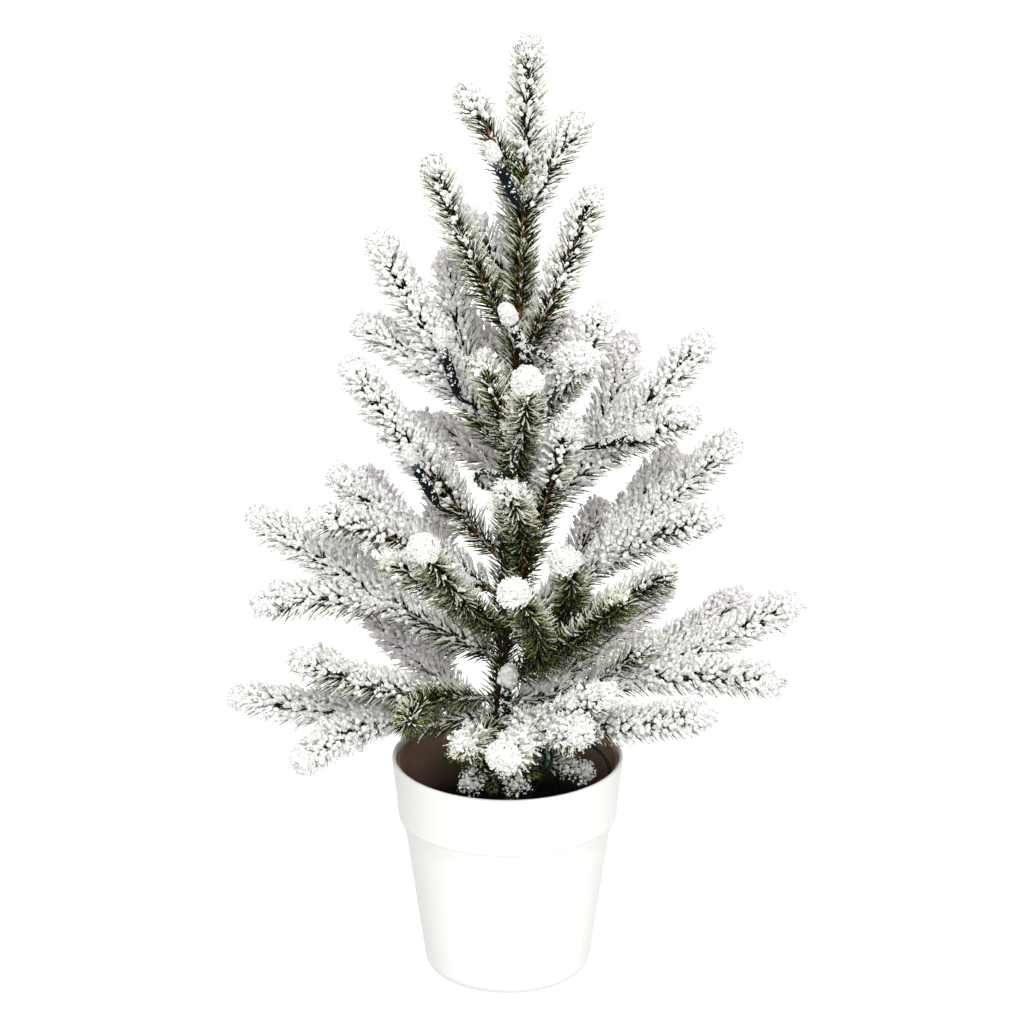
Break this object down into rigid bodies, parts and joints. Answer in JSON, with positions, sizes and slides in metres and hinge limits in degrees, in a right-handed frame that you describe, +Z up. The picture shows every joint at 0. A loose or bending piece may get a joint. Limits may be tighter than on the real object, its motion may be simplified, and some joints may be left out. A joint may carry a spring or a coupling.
{
  "type": "artificial tabletop tree",
  "caption": "Flocked artificial tabletop tree: bendable wire branches with mini lights on a trunk, set in a round plant pot with a battery box inside.",
  "frame": {"origin": "centre of the pot's flat underside", "axes": "+Z up through the tree; the front faces -Y, and +X is to the right seen from the front"},
  "size_m": [0.351, 0.272, 0.598],
  "materials": {
    "pot": "satin",
    "pot_liner": "matte",
    "cement": "matte",
    "trunk": "matte",
    "foliage": "matte",
    "light_socket": "satin",
    "lamp": "matte",
    "wire": "satin",
    "battery_box": "satin",
    "switch": "satin",
    "cell": "satin",
    "contact": "polished"
  },
  "bodies": {
    "root": {"pot": "pot", "pot_liner": "pot_liner", "cement_weight": "cement", "trunk": "trunk", "string_wire": "wire", "battery_lead": "wire", "battery_lead_2": "wire", "slack_loop": "wire", "battery_case": "battery_box", "battery_cell_1": "cell", "battery_cell_2": "cell", "battery_cell_3": "cell", "contact_springs": "contact", "contact_plate": "contact", "light_3_socket": "light_socket", "light_3_lamp": "lamp", "light_6_socket": "light_socket", "light_6_lamp": "lamp"},
    "leader": {"leader": "foliage", "light_1_socket": "light_socket", "light_1_lamp": "lamp"},
    "branch_01": {"branch_01": "foliage"},
    "branch_02": {"branch_02": "foliage"},
    "branch_03": {"branch_03": "foliage"},
    "branch_04": {"branch_04": "foliage", "light_2_socket": "light_socket", "light_2_lamp": "lamp"},
    "branch_05": {"branch_05": "foliage"},
    "branch_06": {"branch_06": "foliage"},
    "branch_07": {"branch_07": "foliage"},
    "branch_08": {"branch_08": "foliage", "light_4_socket": "light_socket", "light_4_lamp": "lamp"},
    "branch_09": {"branch_09": "foliage", "light_5_socket": "light_socket", "light_5_lamp": "lamp"},
    "branch_10": {"branch_10": "foliage"},
    "branch_11": {"branch_11": "foliage"},
    "branch_12": {"branch_12": "foliage"},
    "branch_13": {"branch_13": "foliage", "light_7_socket": "light_socket", "light_7_lamp": "lamp"},
    "branch_14": {"branch_14": "foliage"},
    "branch_15": {"branch_15": "foliage"},
    "branch_16": {"branch_16": "foliage"},
    "branch_17": {"branch_17": "foliage"},
    "branch_18": {"branch_18": "foliage"},
    "branch_19": {"branch_19": "foliage", "light_8_socket": "light_socket", "light_8_lamp": "lamp"},
    "branch_20": {"branch_20": "foliage"},
    "branch_21": {"branch_21": "foliage"},
    "branch_22": {"branch_22": "foliage"},
    "branch_23": {"branch_23": "foliage"},
    "branch_24": {"branch_24": "foliage"},
    "branch_25": {"branch_25": "foliage"},
    "branch_26": {"branch_26": "foliage"},
    "branch_27": {"branch_27": "foliage"},
    "battery_cover": {"battery_cover": "battery_box"},
    "power_switch": {"power_switch": "switch"}
  },
  "joints": [
    {"name": "leader_bend", "type": "hinge", "parent": "root", "child": "leader", "pos_m": [0.00724, 0, 0.424], "axis": [1, 0, 0], "range_deg": [-8, 14]},
    {"name": "branch_01_bend", "type": "hinge", "parent": "root", "child": "branch_01", "pos_m": [0.00077, -0.00161, 0.416], "axis": [-0.256, 0.9667, 0], "range_deg": [-15, 10]},
    {"name": "branch_02_bend", "type": "hinge", "parent": "root", "child": "branch_02", "pos_m": [0.01228, -0.0016, 0.402], "axis": [-0.2534, -0.9674, 0], "range_deg": [-15, 8]},
    {"name": "branch_03_bend", "type": "hinge", "parent": "root", "child": "branch_03", "pos_m": [0.00534, 0.0063, 0.388], "axis": [0.9996, 0.0293, 0], "range_deg": [-15, 12]},
    {"name": "branch_04_bend", "type": "hinge", "parent": "root", "child": "branch_04", "pos_m": [-0.00316, -0.00015, 0.338], "axis": [-0.0243, 0.9997, 0], "range_deg": [-15, 10]},
    {"name": "branch_05_bend", "type": "hinge", "parent": "root", "child": "branch_05", "pos_m": [0.00951, -0.00247, 0.35], "axis": [-0.3922, -0.9199, 0], "range_deg": [-15, 10]},
    {"name": "branch_06_bend", "type": "hinge", "parent": "root", "child": "branch_06", "pos_m": [0.00287, -0.00626, 0.318], "axis": [-0.9941, -0.1084, 0], "range_deg": [-12, 8]},
    {"name": "branch_07_bend", "type": "hinge", "parent": "root", "child": "branch_07", "pos_m": [0.0034, 0.00629, 0.336], "axis": [0.9984, -0.0562, 0], "range_deg": [-15, 12]},
    {"name": "branch_08_bend", "type": "hinge", "parent": "root", "child": "branch_08", "pos_m": [-0.00614, -0.00141, 0.272], "axis": [-0.2234, 0.9747, 0], "range_deg": [-15, 10]},
    {"name": "branch_09_bend", "type": "hinge", "parent": "root", "child": "branch_09", "pos_m": [0.00714, 0.00042, 0.29], "axis": [0.0659, -0.9978, 0], "range_deg": [-12, 8]},
    {"name": "branch_10_bend", "type": "hinge", "parent": "root", "child": "branch_10", "pos_m": [0.0024, -0.00507, 0.244], "axis": [-0.8049, -0.5934, 0], "range_deg": [-15, 5]},
    {"name": "branch_11_bend", "type": "hinge", "parent": "root", "child": "branch_11", "pos_m": [0.00391, 0.00035, 0.222], "axis": [0.0561, -0.9984, 0], "range_deg": [-15, 10]},
    {"name": "branch_12_bend", "type": "hinge", "parent": "root", "child": "branch_12", "pos_m": [-0.00742, -0.00047, 0.248], "axis": [-0.0754, 0.9972, 0], "range_deg": [-15, 12]},
    {"name": "branch_13_bend", "type": "hinge", "parent": "root", "child": "branch_13", "pos_m": [0.00007, 0.00628, 0.262], "axis": [0.9962, -0.087, 0], "range_deg": [-15, 15]},
    {"name": "branch_14_bend", "type": "hinge", "parent": "root", "child": "branch_14", "pos_m": [-0.00943, 0.00033, 0.206], "axis": [0.0519, 0.9987, 0], "range_deg": [-15, 12]},
    {"name": "branch_15_bend", "type": "hinge", "parent": "root", "child": "branch_15", "pos_m": [-0.00488, -0.00574, 0.224], "axis": [-0.9116, 0.4112, 0], "range_deg": [-15, 15]},
    {"name": "branch_16_bend", "type": "hinge", "parent": "root", "child": "branch_16", "pos_m": [-0.0001, -0.00516, 0.194], "axis": [-0.8188, -0.574, 0], "range_deg": [-10, 6]},
    {"name": "branch_17_bend", "type": "hinge", "parent": "root", "child": "branch_17", "pos_m": [0.00313, -0.00246, 0.216], "axis": [-0.3907, -0.9205, 0], "range_deg": [-10, 12]},
    {"name": "branch_18_bend", "type": "hinge", "parent": "root", "child": "branch_18", "pos_m": [0.00166, 0.00439, 0.212], "axis": [0.6971, -0.717, 0], "range_deg": [-15, 15]},
    {"name": "branch_19_bend", "type": "hinge", "parent": "root", "child": "branch_19", "pos_m": [-0.00747, 0.00483, 0.2], "axis": [0.7674, 0.6412, 0], "range_deg": [-15, 15]},
    {"name": "branch_20_bend", "type": "hinge", "parent": "root", "child": "branch_20", "pos_m": [-0.01024, -0.00231, 0.18], "axis": [-0.3673, 0.9301, 0], "range_deg": [-10, 15]},
    {"name": "branch_21_bend", "type": "hinge", "parent": "root", "child": "branch_21", "pos_m": [-0.01144, -0.0003, 0.164], "axis": [-0.0482, 0.9988, 0], "range_deg": [-15, 10]},
    {"name": "branch_22_bend", "type": "hinge", "parent": "root", "child": "branch_22", "pos_m": [-0.00617, -0.00618, 0.168], "axis": [-0.9812, 0.1931, 0], "range_deg": [-12, 15]},
    {"name": "branch_23_bend", "type": "hinge", "parent": "root", "child": "branch_23", "pos_m": [-0.00212, -0.00572, 0.172], "axis": [-0.908, -0.419, 0], "range_deg": [-15, 10]},
    {"name": "branch_24_bend", "type": "hinge", "parent": "root", "child": "branch_24", "pos_m": [0.00172, 0.00027, 0.176], "axis": [0.0433, -0.9991, 0], "range_deg": [-15, 15]},
    {"name": "branch_25_bend", "type": "hinge", "parent": "root", "child": "branch_25", "pos_m": [-0.00001, -0.00337, 0.16], "axis": [-0.5355, -0.8446, 0], "range_deg": [-12, 15]},
    {"name": "branch_26_bend", "type": "hinge", "parent": "root", "child": "branch_26", "pos_m": [-0.00074, 0.00459, 0.166], "axis": [0.729, -0.6845, 0], "range_deg": [-15, 15]},
    {"name": "branch_27_bend", "type": "hinge", "parent": "root", "child": "branch_27", "pos_m": [-0.00935, 0.00493, 0.158], "axis": [0.783, 0.6221, 0], "range_deg": [-15, 15]},
    {"name": "battery_cover_slide", "type": "slide", "parent": "root", "child": "battery_cover", "axis": [0, 0, 1], "range_m": [0, 0.036]},
    {"name": "power_switch_slide", "type": "slide", "parent": "root", "child": "power_switch", "axis": [0, -1, 0], "range_m": [0, 0.003]}
  ]
}
